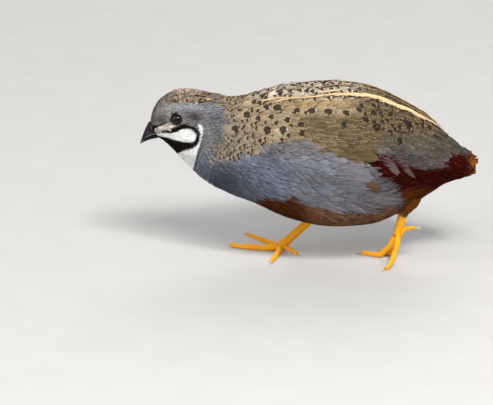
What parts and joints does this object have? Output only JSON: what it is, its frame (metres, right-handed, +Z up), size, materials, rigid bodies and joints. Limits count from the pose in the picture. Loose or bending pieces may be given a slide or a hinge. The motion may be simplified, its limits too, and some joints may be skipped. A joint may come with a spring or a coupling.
{
  "type": "king quail",
  "caption": "Small ground bird, a cock king quail, walking low with one foot set forward and the other pushing off; a still life-size model for display.",
  "frame": {"origin": "centre of the bounding box's underside, on the floor", "axes": "+X towards the tail, -X towards the bill, +Z up, -Y the bird's left side"},
  "size_m": [0.125, 0.0498, 0.0688],
  "materials": {
    "slate_plumage": "soft matt feathers",
    "brown_plumage": "matt mottled feathers",
    "chestnut_plumage": "matt feathers",
    "eye": "wet gloss",
    "bill": "satin horn",
    "leg_skin": "scaly satin skin",
    "claw": "satin horn"
  },
  "bodies": {
    "root": {"head": "slate_plumage", "neck": "slate_plumage", "torso": "slate_plumage", "tail": "chestnut_plumage", "left_wing": "brown_plumage", "right_wing": "brown_plumage", "left_thigh": "brown_plumage", "right_thigh": "brown_plumage", "left_eye": "eye", "right_eye": "eye", "upper_bill": "bill", "lower_bill": "bill", "left_shank": "leg_skin", "right_shank": "leg_skin", "left_middle_toe": "leg_skin", "left_inner_toe": "leg_skin", "left_outer_toe": "leg_skin", "left_hind_toe": "leg_skin", "right_middle_toe": "leg_skin", "right_inner_toe": "leg_skin", "right_outer_toe": "leg_skin", "right_hind_toe": "leg_skin", "left_middle_toe_claw": "claw", "left_inner_toe_claw": "claw", "left_outer_toe_claw": "claw", "left_hind_toe_claw": "claw", "right_middle_toe_claw": "claw", "right_inner_toe_claw": "claw", "right_outer_toe_claw": "claw", "right_hind_toe_claw": "claw"}
  },
  "joints": []
}
